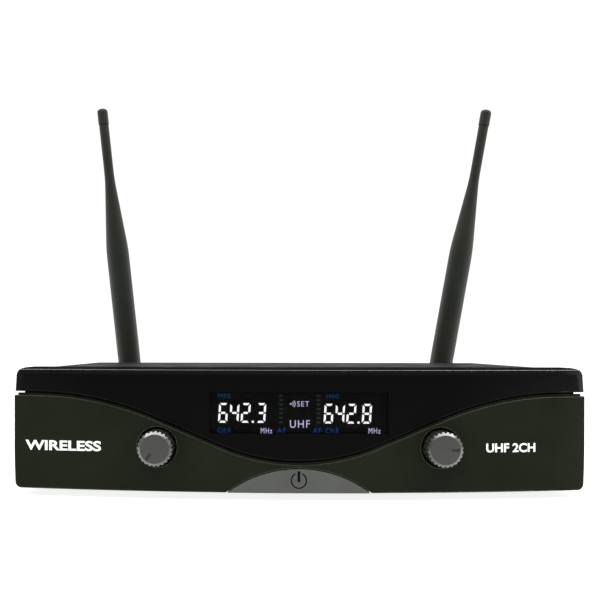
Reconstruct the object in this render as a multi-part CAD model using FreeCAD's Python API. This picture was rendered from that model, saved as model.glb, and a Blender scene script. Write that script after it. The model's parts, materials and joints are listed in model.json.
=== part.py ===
import FreeCAD, Part
import math
import os

# Desktop twin-channel wireless microphone receiver, in millimetres.
# X runs to the right as seen from the front, Y runs to the rear and Z runs up.
# The origin lies on the plane that the feet stand on, under the middle of the case.

V = FreeCAD.Vector
X_AXIS = V(1, 0, 0)
Y_AXIS = V(0, 1, 0)
Z_AXIS = V(0, 0, 1)
FAR = 300.0  # past every face of the receiver, for cutting tools
FIT = 0.05  # radial clearance of a running fit
GAP = 0.3  # clearance between pieces that don't touch
NEAR = 0.05  # how close to a place an edge must lie to be picked there
TIGHT = 0.01  # radial clearance around a pin that stays put

# Front assembly: two bowed shells over an inner frame
HALF_WIDTH = 115.0
FRONT_END_Y = -83.0
FRONT_BACK_Y = -65.0
BOW = 12.0  # how far the middle of the front stands ahead of its ends
BOW_RADIUS = (HALF_WIDTH**2 + BOW**2) / (2 * BOW)
BOW_CENTRE_Y = FRONT_END_Y - BOW + BOW_RADIUS
FRONT_BOTTOM = 3.0
FRONT_TOP = 51.2
FRONT_CORNER = 2.6
FACE_WALL = 3.0
SIDE_WALL = 2.5
BACK_FLANGE = 1.5
FASCIA_HALF_BASE = 114.6  # half width at the groove; the sides draw in towards the top
FASCIA_HALF_TOP = 114.2
PANEL_HALF_EDGE = 114.6  # half width at the bottom corners; the sides swell to HALF_WIDTH
PANEL_SWELL_Z = 24.0
PANEL_TUCK = (14.0, 0.1)  # height, and how far the swollen side has drawn in there
FRONT_EDGE_ROUND = 0.35
FASCIA_CORNER = 3.6
FASCIA_TOP_RISE = 0.7  # the fascia's top slopes up from its front edge by this much
FASCIA_TOP_SLOPE = 6.0  # how deep that slope is; behind it the top is level

# S-shaped line between the two shells: a valley, straight flanks, crests and flat shoulders
VALLEY_Z = 13.9
VALLEY_RADIUS = 80.0
FLANK_ANGLE = math.radians(22.7)
FLANK_END_X = 56.7
CREST_RADIUS = 124.5
SHOULDER_ANGLE = math.radians(0.4)
GROOVE = 1.65
LIP_HEIGHT = 1.0
LIP_INSET = 1.0
LIP_END_INSET = 1.4
LIP_BACK = 2.6
LIP_ROUND = 0.3
FRAME_DEPTH = 2.0
FRAME_GAP = 0.1
FRAME_BELOW = 1.5
FRAME_ABOVE = 3.2
FRAME_HALF = 111.3
FRAME_CHEEK = 1.5
FRAME_CHEEK_Z = (38.5, 46.5)

# Smoked lens and lit display
LENS_THICKNESS = 1.4
LENS_PROUD = 0.2
LENS_SIDE_INSET = 2.0
LENS_EDGE_INSET = 0.6
LENS_CORNER = 1.4
WINDOW_HALF = 37.0
WINDOW_Z = (25.2, 43.6)
DISPLAY_HALF = 35.5
DISPLAY_Z = (25.8, 43.1)
DISPLAY_FACE_Y = -92.3

# Front circuit board
BOARD = 1.6
FRONT_BOARD_Y = -81.0
FRONT_BOARD_HALF = 72.0
FRONT_BOARD_Z = (6.5, 47.6)
BOARD_BOSSES = ((-45.0, 45.7), (45.0, 45.7), (-38.0, 9.5), (38.0, 9.5))
BOSS_RADIUS = 2.3
CASE_BOSS_RADIUS = 2.5
BOARD_SCREW = 1.2
BOARD_SCREW_HEAD = 2.4
BOARD_SCREW_HEAD_HEIGHT = 1.5
BOARD_SCREW_DEPTH = 6.0
HOLE_SPARE = 1.0  # depth of a blind hole past its screw
RIBBON_HALF = 10.0
RIBBON = 0.9
RIBBON_Z = 24.0
RIBBON_FRONT_Y = -72.0
RIBBON_BEND_Y = -52.0
RIBBON_END_Y = -40.0
RIBBON_PLUG = (12.0, 3.2)  # half width and half height

# Volume knobs and their potentiometers, one each side
KNOB_X = 56.0
KNOB_Z = 20.7
KNOB_RADIUS = 6.85
KNOB_FACE_RADIUS = 5.7
KNOB_CHAMFER = 0.9
KNOB_FACE_Y = -101.6
KNOB_BACK_Y = -90.7
FLUTES = 24
FLUTE_RADIUS = 0.45
POINTER_REACH = (2.2, 5.3)  # from the knob's axis
POINTER_WIDTH = 1.1
POINTER_DEPTH = 0.5
KNOB_TRAVEL = 140.0  # degrees each way from the top
KNOB_ANGLE_A = -KNOB_TRAVEL  # channel A rests at its lower stop
KNOB_ANGLE_B = 90.0
WELL_RADIUS = 8.1
WELL_FLOOR_Y = -87.65
WELL_WALL = 1.5
SHAFT_RADIUS = 3.0
SHAFT_FLAT = 2.3
SHAFT_TIP_Y = -98.5
SHAFT_TIP_GAP = 0.2
SHAFT_END_Y = -82.4
KEY_FIT = 0.03
BUSH_RADIUS = 3.5
BUSH_TIP_Y = -90.4
POT_HALF = 6.0
WASHER = (6.6, 0.5)  # radius and thickness
NUT_FLATS = 10.0
NUT_HEIGHT = 1.9

# Power button, a slice of a disc that lies along the bottom edge
BUTTON_RADIUS = 46.2
BUTTON_TOP = 12.4
BUTTON_CENTRE_Z = BUTTON_TOP - BUTTON_RADIUS
BUTTON_PROUD = 0.3
BUTTON_GAP = 0.45
BUTTON_BACK_Y = -91.4
BUTTON_NOTCH_Y = -89.9
WING_X = (15.0, 23.0)
WING_Z = (5.9, 10.7)
WING_THICKNESS = 1.0
SYMBOL_Z = 7.95
SYMBOL_RADIUS = 2.95
SYMBOL_LINE = 0.55
SYMBOL_DEPTH = 0.3
SYMBOL_GAP_HALF = 1.3
SYMBOL_BAR_TOP = 11.7
STEM_RADIUS = 1.9
STEM_END_Y = -87.0
SWITCH_HALF = 3.0
SWITCH_Z = (6.6, 10.7)
SWITCH_FRONT_Y = -84.5
PLUNGER_RADIUS = 1.6
PLUNGER_END_Y = -83.5
PLUNGER_WELL_Y = -82.0

# Sheet metal case
SHEET = 1.0
COVER_HALF = 108.5
COVER_TOP = 51.4
COVER_BEND = 1.8
CASE_BOTTOM = 3.6
CASE_BACK_Y = 83.0
TRAY_HALF = 107.3
TRAY_FLANGE_TOP = 18.0
TRAY_WALL_TOP = 48.0
CABLE_SLOT_HALF = 20.0
CABLE_SLOT_Z = (14.0, 34.0)
VENTS = 12
VENT_PITCH = 6.0
VENT_WIDTH = 2.4
VENT_Z = (26.0, 42.0)
VENT_START_Y = -10.0
CASE_SCREW_Y = (-45.0, 60.0)
CASE_SCREW_Z = 12.0
REAR_SCREW_X = (-70.0, 70.0)
REAR_SCREW_Z = 8.5
REAR_LIP_TOP = 13.0
REAR_PANEL_TOP = COVER_TOP - SHEET - 0.5
SCREW_RADIUS = 1.4
SCREW_HEAD = 2.7
SCREW_HEAD_HEIGHT = 1.6
DRIVE_WIDTH = 0.6  # cross recess in every screw head
DRIVE_DEPTH = 0.7
DRIVE_REACH = 0.65  # share of the head's radius
SCREW_LENGTH = 6.0
SCREW_PAST = 0.6  # how far a screw stands past the sheet that it holds
FRONT_SCREW_X = 100.0
FRONT_SCREW_Z = (12.0, 45.4)
FRONT_SCREW_LENGTH = 11.0

# Feet
FOOT_X = 92.0
FOOT_Y = (-50.0, 66.0)
FOOT_RADIUS = 7.0
FOOT_TAPER = 0.8
FOOT_RECESS_RADIUS = 3.4
FOOT_RECESS = 2.0

# Main circuit board and radio modules
MAIN_BOARD_Z = 10.0
MAIN_BOARD_HALF = 98.0
MAIN_BOARD_Y = (-55.0, 76.0)
STANDOFFS = ((-86.0, -40.0), (86.0, -40.0), (-60.0, 60.0), (60.0, 60.0))
STANDOFF_RADIUS = 3.0
RADIO_X = (74.0, 103.0)
RADIO_Y = (30.0, 70.0)
RADIO_TOP = 36.0
RADIO_WALL = 0.8
RADIO_PIN_HOLE = 1.3

# Antennas: panel socket, swivel knuckle and folding whip, one each side
ANTENNA_X = 88.6
ANTENNA_Z = 26.0
HINGE_Y = 101.0
TILT_A = math.radians(-6.3)  # outward lean of each whip at rest, about +Y
TILT_B = math.radians(10.05)
SOCKET_FLATS = 14.0
SOCKET_FLANGE = 2.2
SOCKET_RADIUS = 4.75
SOCKET_END_Y = 74.0
SOCKET_PIN = 0.7
SOCKET_PIN_END_Y = 68.5
SOCKET_NUT = 2.4
SPIGOT_RADIUS = 4.0
SPIGOT_END_Y = 93.0
COLLAR_RADIUS = 6.2
COLLAR_Y = (85.5, 95.0)
COLLAR_BORE_END_Y = 93.4
KNURLS = 24
KNURL_RADIUS = 0.45
KNURL_MARGIN = (1.0, 2.0)  # plain collar before and behind the knurls
MERGE = 0.5  # how far the parts of one moulding run into each other
TONGUE_HALF = 2.4
TONGUE_RADIUS = 5.0
EAR_HALF = (2.7, 5.7)
EAR_RADIUS = 5.3
HINGE_PIN = 1.5
WHIP_RADIUS = 6.6
WHIP_START = 7.0
FLARE_START = 93.0
FLARE_END = 135.0
FLARE_BLEND = 10.0  # length of the soft run between the flare and its neighbours
SLIM_RADIUS = 2.85
WHIP_END = 167.2
CAP_START = 167.6
CAP_END = 177.0
CAP_RADIUS = 3.1
CAP_ROUND = 2.0
WIRE_BORE = 1.3
WIRE_RADIUS = 0.8
WIRE_SPAN = (9.0, 158.0)
CAP_STEM_START = 161.0

# Rear connectors
OUTPUT_X = (-46.0, -8.0)
OUTPUT_Z = 27.0
OUTPUT_FLANGE = (13.0, 15.5, 2.0)  # half width, half height and thickness
OUTPUT_FLANGE_CORNER = 3.0
OUTPUT_BODY_RADIUS = 11.6
OUTPUT_CUP_RADIUS = 9.6
OUTPUT_INSERT_Y = (62.0, 71.0)
OUTPUT_BODY_END_Y = 64.0
OUTPUT_PIN_RADIUS = 1.2
OUTPUT_PIN_CIRCLE = 4.2
OUTPUT_PIN_Y = (58.0, 82.0)
OUTPUT_PIN_ANGLES = (150.0, 30.0, 270.0)
OUTPUT_SCREW_OFFSET = (9.5, 12.0)
OUTPUT_SCREW_RADIUS = 1.3
OUTPUT_SCREW_HEAD = 2.5
JACK_X = 26.0
JACK_Z = 27.0
JACK_BORE = 3.25
JACK_THREAD = 4.7
JACK_TIP_Y = 89.0
JACK_HALF = 8.0
JACK_BODY_START_Y = 56.0
JACK_BORE_START_Y = 57.5
JACK_NUT_FLATS = 13.0
JACK_NUT = 2.4
POWER_X = 54.0
POWER_Z = 27.0
POWER_FLANGE = (6.0, 1.5)  # half width and thickness
POWER_BODY = 4.6
POWER_BODY_END_Y = 70.0
POWER_CUP = 3.1
POWER_CUP_FLOOR_Y = 73.0
POWER_PIN = 1.0
POWER_PIN_TIP_Y = 82.5


def box(x, y, z):
    """A box from three (low, high) pairs."""
    return Part.makeBox(x[1] - x[0], y[1] - y[0], z[1] - z[0], V(x[0], y[0], z[0]))


def rod_y(x, z, radius, y0, y1):
    return Part.makeCylinder(radius, y1 - y0, V(x, y0, z), Y_AXIS)


def rod_z(x, y, radius, z0, z1):
    return Part.makeCylinder(radius, z1 - z0, V(x, y, z0), Z_AXIS)


def rod_x(radius, x0, x1):
    return Part.makeCylinder(radius, x1 - x0, V(x0, 0, 0), X_AXIS)


def hex_y(x, z, flats, y0, y1):
    """A hexagonal prism along Y, by its width across flats."""
    reach = flats / 2 / math.cos(math.pi / 6)
    turns = [math.radians(60 * i + 30) for i in range(7)]
    corners = [V(x + reach * math.sin(a), y0, z + reach * math.cos(a)) for a in turns]
    return Part.Face(Part.makePolygon(corners)).extrude(V(0, y1 - y0, 0))


def pan_screw(at, direction, length, shank=SCREW_RADIUS, head=SCREW_HEAD, height=SCREW_HEAD_HEIGHT):
    """A screw whose head sits on the point at; direction is the way the shank goes."""
    start = at - direction * height
    dome = Part.makeCylinder(head, height, start, direction)
    circles = [e for e in dome.Edges if e.Curve.TypeId == "Part::GeomCircle"]
    rim = [e for e in circles if (e.CenterOfMass - start).Length < NEAR]
    dome = dome.makeFillet(height / 2, rim)
    reach = head * DRIVE_REACH
    across = (-DRIVE_WIDTH / 2, DRIVE_WIDTH / 2)
    drive = box(across, (-reach, reach), (0, DRIVE_DEPTH))
    drive = drive.fuse(box((-reach, reach), across, (0, DRIVE_DEPTH)))
    drive.Placement = FreeCAD.Placement(start, FreeCAD.Rotation(Z_AXIS, direction))
    return dome.fuse(Part.makeCylinder(shank, length, at, direction)).cut(drive)


def prism(edges, y0=-FAR, y1=FRONT_BACK_Y):
    """The solid behind a closed outline drawn at y = 0 in the XZ plane."""
    face = Part.Face(Part.Wire(edges))
    face.translate(V(0, y0, 0))
    return face.extrude(V(0, y1 - y0, 0))


def line(a, b):
    return Part.LineSegment(a, b).toShape()


def arc(a, middle, b):
    return Part.Arc(a, middle, b).toShape()


def bow_behind(inset):
    """Everything behind the bowed front surface, moved back by inset."""
    return Part.makeCylinder(BOW_RADIUS - inset, FAR, V(0, BOW_CENTRE_Y, -FAR / 2), Z_AXIS)


def s_curve(lift, half):
    """Edges of the S-shaped line from -half to half, lifted by lift."""
    a, b = FLANK_ANGLE, SHOULDER_ANGLE
    foot = VALLEY_Z + lift
    valley = V(VALLEY_RADIUS * math.sin(a), 0, foot + VALLEY_RADIUS * (1 - math.cos(a)))
    flank = V(FLANK_END_X, 0, valley.z + (FLANK_END_X - valley.x) * math.tan(a))
    centre = flank + V(math.sin(a), 0, -math.cos(a)) * CREST_RADIUS
    crest, bend = [centre + V(-math.sin(t), 0, math.cos(t)) * CREST_RADIUS for t in ((a + b) / 2, b)]
    end = V(half, 0, bend.z + (half - bend.x) * math.tan(b))
    right = [valley, flank, crest, bend, end]
    left = [V(-p.x, 0, p.z) for p in right]
    return [
        line(left[4], left[3]),
        arc(left[3], left[2], left[1]),
        line(left[1], left[0]),
        arc(left[0], V(0, 0, foot), right[0]),
        line(right[0], right[1]),
        arc(right[1], right[2], right[3]),
        line(right[3], right[4]),
    ]


def end_height(lift, half):
    return s_curve(lift, half)[-1].Vertexes[-1].Z


def corner(x, z, radius, up):
    """Three points of a quarter round at the corner (x, z), from the side to the edge above or below."""
    side = 1 if x > 0 else -1
    middle = V(x - side * radius, 0, z - up * radius)
    slant = radius * math.sqrt(0.5)
    reach = (V(side * radius, 0, 0), V(side * slant, 0, up * slant), V(0, 0, up * radius))
    return [middle + r for r in reach]


def fascia_outline(lift, base, top_half, top, radius):
    """The upper shell's outline: S-shaped below, rounded corners above."""
    low = end_height(lift, base)
    right = corner(top_half, top, radius, 1)
    left = corner(-top_half, top, radius, 1)
    return s_curve(lift, base) + [
        line(V(base, 0, low), right[0]),
        arc(*right),
        line(right[2], left[2]),
        arc(*reversed(left)),
        line(left[0], V(-base, 0, low)),
    ]


def panel_outline():
    """The lower shell's outline: S-shaped above, swollen sides and rounded corners below."""
    high = end_height(0, HALF_WIDTH)
    right = corner(PANEL_HALF_EDGE, FRONT_BOTTOM, FRONT_CORNER, -1)
    left = corner(-PANEL_HALF_EDGE, FRONT_BOTTOM, FRONT_CORNER, -1)
    tuck_z, tuck = PANEL_TUCK
    return s_curve(0, HALF_WIDTH) + [
        line(V(HALF_WIDTH, 0, high), V(HALF_WIDTH, 0, PANEL_SWELL_Z)),
        arc(V(HALF_WIDTH, 0, PANEL_SWELL_Z), V(HALF_WIDTH - tuck, 0, tuck_z), right[0]),
        arc(*right),
        line(right[2], left[2]),
        arc(*reversed(left)),
        arc(left[0], V(tuck - HALF_WIDTH, 0, tuck_z), V(-HALF_WIDTH, 0, PANEL_SWELL_Z)),
        line(V(-HALF_WIDTH, 0, PANEL_SWELL_Z), V(-HALF_WIDTH, 0, high)),
    ]


def band(low, high, half, y1):
    """A strip that follows the S-shaped line between two lifts."""
    upper = s_curve(high, half)
    lower = s_curve(low, half)
    closing = [
        line(V(half, 0, end_height(high, half)), V(half, 0, end_height(low, half))),
        line(V(-half, 0, end_height(low, half)), V(-half, 0, end_height(high, half))),
    ]
    return prism(Part.__sortEdges__(upper + lower + closing), -FAR, y1)


def round_front_edges(shape, radius, inset=0):
    """Round the edges that bound a bowed face, inset behind the front surface."""
    on_bow = [e for e in shape.Edges if all(abs(bow_distance(v.Point) + inset) < NEAR for v in e.Vertexes)]
    return shape.makeFillet(radius, on_bow)


def bow_distance(point):
    """How far a point lies ahead of the bowed front surface."""
    return math.hypot(point.x, point.y - BOW_CENTRE_Y) - BOW_RADIUS


def boss(x, z, radius, hole, hole_start_y, back_y):
    """A screw boss from the inside of the front face to back_y, with a blind hole."""
    post = rod_y(x, z, radius, -FAR / 2, back_y).common(bow_behind(FACE_WALL / 2))
    return post, rod_y(x, z, hole, hole_start_y, back_y)


def add_bosses(shell, upper):
    """The screw bosses of one front shell: for the case screws and for the front board."""
    start = FRONT_BACK_Y - FRONT_SCREW_LENGTH - HOLE_SPARE
    height = FRONT_SCREW_Z[upper]
    posts = [
        boss(side * FRONT_SCREW_X, height, CASE_BOSS_RADIUS, SCREW_RADIUS + FIT, start, FRONT_BACK_Y)
        for side in (-1, 1)
    ]
    mine = BOARD_BOSSES[:2] if upper else BOARD_BOSSES[2:]
    posts += [
        boss(x, z, BOSS_RADIUS, BOARD_SCREW + FIT, FRONT_BOARD_Y - BOARD_SCREW_DEPTH, FRONT_BOARD_Y)
        for x, z in mine
    ]
    for post, hole in posts:
        shell = shell.fuse(post).cut(hole)
    return shell


def front_hollow(half, z):
    """The room inside a front shell; its back edge turns inwards to meet the case."""
    room = box((-half, half), (-FAR / 2, FRONT_BACK_Y - BACK_FLANGE), z)
    mouth = box((-COVER_HALF + SHEET, COVER_HALF - SHEET), (FRONT_END_Y, FAR / 2), z)
    return room.fuse(mouth).common(bow_behind(FACE_WALL))


def under_fascia_top():
    """Everything behind the bowed front and below the fascia's sloping top."""
    axis = V(0, BOW_CENTRE_Y, 0)
    lower = Part.makeCylinder(BOW_RADIUS, FRONT_TOP, axis, Z_AXIS)
    slope_end = BOW_RADIUS - FASCIA_TOP_SLOPE
    return lower.fuse(Part.makeCone(BOW_RADIUS, slope_end, FASCIA_TOP_RISE, axis + V(0, 0, FRONT_TOP), Z_AXIS))


def fascia_bezel():
    top = FRONT_TOP + FASCIA_TOP_RISE
    outline = fascia_outline(GROOVE, FASCIA_HALF_BASE, FASCIA_HALF_TOP, top, FASCIA_CORNER)
    outer = round_front_edges(prism(outline).common(under_fascia_top()), FRONT_EDGE_ROUND)
    shell = outer.cut(front_hollow(FASCIA_HALF_TOP - SIDE_WALL, (0, FRONT_TOP - SIDE_WALL)))
    pocket = lens_outline_prism(-FIT).cut(bow_behind(LENS_THICKNESS - LENS_PROUD + FIT))
    window = box((-WINDOW_HALF, WINDOW_HALF), (-FAR / 2, FRONT_END_Y), WINDOW_Z)
    return add_bosses(shell.cut(pocket).cut(window), 1)


def lens_outline_prism(inset):
    """Everything behind the lens's outline, drawn in by inset."""
    side = LENS_SIDE_INSET + inset
    lift = GROOVE + LENS_EDGE_INSET + inset
    base = FASCIA_HALF_BASE - side
    return prism(fascia_outline(lift, base, FASCIA_HALF_TOP - side, FRONT_TOP - side, LENS_CORNER))


def display_lens():
    body = lens_outline_prism(0).common(bow_behind(-LENS_PROUD))
    return body.cut(bow_behind(LENS_THICKNESS - LENS_PROUD))


def well_rods(radius, y1):
    """A rod about each knob's axis, from the front to y1."""
    return [rod_y(side * KNOB_X, KNOB_Z, radius, -FAR / 2, y1) for side in (-1, 1)]


def lower_panel():
    outer = round_front_edges(prism(panel_outline()).common(bow_behind(0)), FRONT_EDGE_ROUND)
    shell = outer.cut(front_hollow(PANEL_HALF_EDGE - SIDE_WALL, (FRONT_BOTTOM + SIDE_WALL, FAR)))
    lip = band(-FRAME_BELOW, LIP_HEIGHT, HALF_WIDTH - LIP_END_INSET, FRONT_BACK_Y)
    lip = lip.common(bow_behind(LIP_INSET)).cut(bow_behind(LIP_BACK))
    shell = shell.fuse(round_front_edges(lip, LIP_ROUND, LIP_INSET))
    for cup in well_rods(WELL_RADIUS + WELL_WALL, WELL_FLOOR_Y + WELL_WALL):
        shell = shell.fuse(cup.common(bow_behind(FACE_WALL / 2)))
    for bore in well_rods(WELL_RADIUS, WELL_FLOOR_Y) + well_rods(BUSH_RADIUS + FIT, FRONT_END_Y):
        shell = shell.cut(bore)
    notch = rod_y(0, BUTTON_CENTRE_Z, BUTTON_RADIUS + BUTTON_GAP, -FAR / 2, BUTTON_NOTCH_Y)
    return add_bosses(shell.cut(notch), 0)


def inner_frame():
    strip = band(-FRAME_BELOW, FRAME_ABOVE, FRAME_HALF, FRONT_BACK_Y)
    strip = strip.common(bow_behind(FACE_WALL + FRAME_GAP)).cut(bow_behind(FACE_WALL + FRAME_DEPTH))
    for side in (-1, 1):
        x = sorted((side * FRAME_HALF, side * (FRAME_HALF - FRAME_CHEEK)))
        cheek = box(x, (-FAR / 2, FRONT_BACK_Y - BACK_FLANGE - GAP), FRAME_CHEEK_Z)
        strip = strip.fuse(cheek.common(bow_behind(FACE_WALL + FRAME_GAP)))
    for cup in well_rods(WELL_RADIUS + WELL_WALL + GAP, FRONT_END_Y):
        strip = strip.cut(cup)
    for side in (-1, 1):
        room = CASE_BOSS_RADIUS + GAP
        strip = strip.cut(rod_y(side * FRONT_SCREW_X, FRONT_SCREW_Z[1], room, -FAR / 2, 0))
    return strip


def power_symbol():
    """The ring with a gap at its top and the bar in the gap, as a cutter."""
    ring = rod_y(0, SYMBOL_Z, SYMBOL_RADIUS + SYMBOL_LINE / 2, -FAR / 2, 0)
    ring = ring.cut(rod_y(0, SYMBOL_Z, SYMBOL_RADIUS - SYMBOL_LINE / 2, -FAR / 2, 0))
    ring = ring.cut(box((-SYMBOL_GAP_HALF, SYMBOL_GAP_HALF), (-FAR, FAR), (SYMBOL_Z, FAR)))
    bar = box((-SYMBOL_LINE, SYMBOL_LINE), (-FAR / 2, 0), (SYMBOL_Z - SYMBOL_LINE, SYMBOL_BAR_TOP))
    return ring.fuse(bar).cut(bow_behind(SYMBOL_DEPTH - BUTTON_PROUD))


def power_button():
    slice_of_disc = rod_y(0, BUTTON_CENTRE_Z, BUTTON_RADIUS, -FAR / 2, BUTTON_BACK_Y)
    above = box((-FAR, FAR), (-FAR, FAR), (FRONT_BOTTOM, FAR))
    cap = slice_of_disc.common(above).common(bow_behind(-BUTTON_PROUD)).cut(power_symbol())
    for side in (-1, 1):
        x = sorted((side * WING_X[0], side * WING_X[1]))
        cap = cap.fuse(box(x, (BUTTON_BACK_Y, BUTTON_BACK_Y + WING_THICKNESS), WING_Z))
    return cap.fuse(rod_y(0, SYMBOL_Z, STEM_RADIUS, BUTTON_BACK_Y, STEM_END_Y))


def power_switch():
    body = box((-SWITCH_HALF, SWITCH_HALF), (SWITCH_FRONT_Y, FRONT_BOARD_Y), SWITCH_Z)
    return body.cut(rod_y(0, SYMBOL_Z, PLUNGER_RADIUS + FIT, SWITCH_FRONT_Y, PLUNGER_WELL_Y))


def switch_plunger():
    return rod_y(0, SYMBOL_Z, PLUNGER_RADIUS, STEM_END_Y, PLUNGER_END_Y)


def shaft_key(x, radius, flat, y0, y1):
    """A D-shaped rod with its flat on top."""
    above = box((-FAR, FAR), (-FAR, FAR), (KNOB_Z + flat, FAR))
    return rod_y(x, KNOB_Z, radius, y0, y1).cut(above)


def turned(shape, x, angle):
    """Turn a knob part about its axis, clockwise as seen from the front."""
    shape.rotate(V(x, 0, KNOB_Z), Y_AXIS, angle)
    return shape


def pointer(x):
    """The slot in a knob's face, round at its inner end, as a cutter."""
    half = POINTER_WIDTH / 2
    start = KNOB_Z + POINTER_REACH[0] + half
    depth = (KNOB_FACE_Y, KNOB_FACE_Y + POINTER_DEPTH)
    slot = box((x - half, x + half), depth, (start, KNOB_Z + POINTER_REACH[1]))
    return slot.fuse(rod_y(x, start, half, *depth))


def knob(side, angle):
    x = side * KNOB_X
    body = rod_y(x, KNOB_Z, KNOB_RADIUS, KNOB_FACE_Y + KNOB_CHAMFER, KNOB_BACK_Y)
    tip = V(x, KNOB_FACE_Y, KNOB_Z)
    body = body.fuse(Part.makeCone(KNOB_FACE_RADIUS, KNOB_RADIUS, KNOB_CHAMFER, tip, Y_AXIS))
    for i in range(FLUTES):
        turn = math.tau * i / FLUTES
        at = (x + KNOB_RADIUS * math.sin(turn), KNOB_Z + KNOB_RADIUS * math.cos(turn))
        body = body.cut(rod_y(*at, FLUTE_RADIUS, KNOB_FACE_Y, KNOB_BACK_Y))
    body = body.cut(pointer(x))
    bore_y = (SHAFT_TIP_Y - SHAFT_TIP_GAP, KNOB_BACK_Y)
    bore = shaft_key(x, SHAFT_RADIUS + KEY_FIT, SHAFT_FLAT + KEY_FIT, *bore_y)
    return turned(body.cut(bore), x, angle)


def pot_shaft(side, angle):
    x = side * KNOB_X
    flat = shaft_key(x, SHAFT_RADIUS, SHAFT_FLAT, SHAFT_TIP_Y, BUSH_TIP_Y)
    return turned(flat.fuse(rod_y(x, KNOB_Z, SHAFT_RADIUS, BUSH_TIP_Y, SHAFT_END_Y)), x, angle)


def pot_body(side):
    x = side * KNOB_X
    front = WELL_FLOOR_Y + WELL_WALL
    height = (KNOB_Z - POT_HALF, KNOB_Z + POT_HALF)
    body = box((x - POT_HALF, x + POT_HALF), (front, FRONT_BOARD_Y), height)
    body = body.fuse(rod_y(x, KNOB_Z, BUSH_RADIUS, BUSH_TIP_Y, front))
    return body.cut(rod_y(x, KNOB_Z, SHAFT_RADIUS + FIT, BUSH_TIP_Y, SHAFT_END_Y + GAP))


def pot_washers():
    radius, thick = WASHER
    return [
        rod_y(s * KNOB_X, KNOB_Z, radius, WELL_FLOOR_Y - thick, WELL_FLOOR_Y)
        .cut(rod_y(s * KNOB_X, KNOB_Z, BUSH_RADIUS + FIT, -FAR, 0))
        for s in (-1, 1)
    ]


def pot_nuts():
    back = WELL_FLOOR_Y - WASHER[1]
    return [
        hex_y(s * KNOB_X, KNOB_Z, NUT_FLATS, back - NUT_HEIGHT, back)
        .cut(rod_y(s * KNOB_X, KNOB_Z, BUSH_RADIUS + FIT, -FAR, 0))
        for s in (-1, 1)
    ]


def display_module():
    return box((-DISPLAY_HALF, DISPLAY_HALF), (DISPLAY_FACE_Y, FRONT_BOARD_Y), DISPLAY_Z)


def front_board():
    half = FRONT_BOARD_HALF
    board = box((-half, half), (FRONT_BOARD_Y, FRONT_BOARD_Y + BOARD), FRONT_BOARD_Z)
    for x, z in BOARD_BOSSES:
        board = board.cut(rod_y(x, z, BOARD_SCREW + GAP, -FAR, 0))
    return board


def front_board_screws():
    back = FRONT_BOARD_Y + BOARD
    size = (BOARD_SCREW_DEPTH, BOARD_SCREW, BOARD_SCREW_HEAD, BOARD_SCREW_HEAD_HEIGHT)
    return [pan_screw(V(x, back, z), -Y_AXIS, *size) for x, z in BOARD_BOSSES]


def ribbon_cable():
    """A flat cable from the front board through the tray's front wall and down to the main board."""
    board_top = MAIN_BOARD_Z + BOARD
    half, plug_half = RIBBON_PLUG
    low = board_top + 2 * plug_half
    route = [V(0, RIBBON_FRONT_Y, RIBBON_Z), V(0, RIBBON_BEND_Y, RIBBON_Z), V(0, RIBBON_END_Y, low)]
    under = [p - V(0, 0, RIBBON) for p in route]
    side = Part.Face(Part.makePolygon(route + under[::-1] + route[:1]))
    side.translate(V(-RIBBON_HALF, 0, 0))
    end = box((-RIBBON_HALF, RIBBON_HALF), (RIBBON_END_Y, RIBBON_END_Y + RIBBON), (low - RIBBON, low))
    sheet = side.extrude(V(2 * RIBBON_HALF, 0, 0)).fuse(end)
    middle = RIBBON_Z - RIBBON / 2
    plug_z = (middle - plug_half, middle + plug_half)
    front_plug = box((-half, half), (FRONT_BOARD_Y + BOARD, RIBBON_FRONT_Y), plug_z)
    rear_plug_y = (RIBBON_END_Y, RIBBON_END_Y + 2 * plug_half)
    rear_plug = box((-half, half), rear_plug_y, (board_top, low - RIBBON))
    return [sheet, front_plug, rear_plug]


def case_screw_holes(radius):
    return [Part.makeCylinder(radius, FAR, V(-FAR / 2, y, CASE_SCREW_Z), X_AXIS) for y in CASE_SCREW_Y]


def top_edges(shape, height):
    """The two edges of a box that run to the rear at its top."""
    return [e for e in shape.Edges if e.BoundBox.ZMin > height - NEAR and e.BoundBox.YLength > NEAR]


def top_cover():
    """Top sheet and two sides bent from one sheet, with a row of cooling slots in each side."""
    half, y = COVER_HALF, (FRONT_BACK_Y, CASE_BACK_Y)
    outer = box((-half, half), y, (CASE_BOTTOM, COVER_TOP))
    outer = outer.makeFillet(COVER_BEND, top_edges(outer, COVER_TOP))
    inner = box((SHEET - half, half - SHEET), y, (0, COVER_TOP - SHEET))
    inner = inner.makeFillet(COVER_BEND - SHEET, top_edges(inner, COVER_TOP - SHEET))
    cover = outer.cut(inner)
    for i in range(VENTS):
        y0 = VENT_START_Y + VENT_PITCH * i
        cover = cover.cut(box((-FAR, FAR), (y0, y0 + VENT_WIDTH), VENT_Z))
    for hole in case_screw_holes(SCREW_RADIUS + GAP):
        cover = cover.cut(hole)
    return cover


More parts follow.
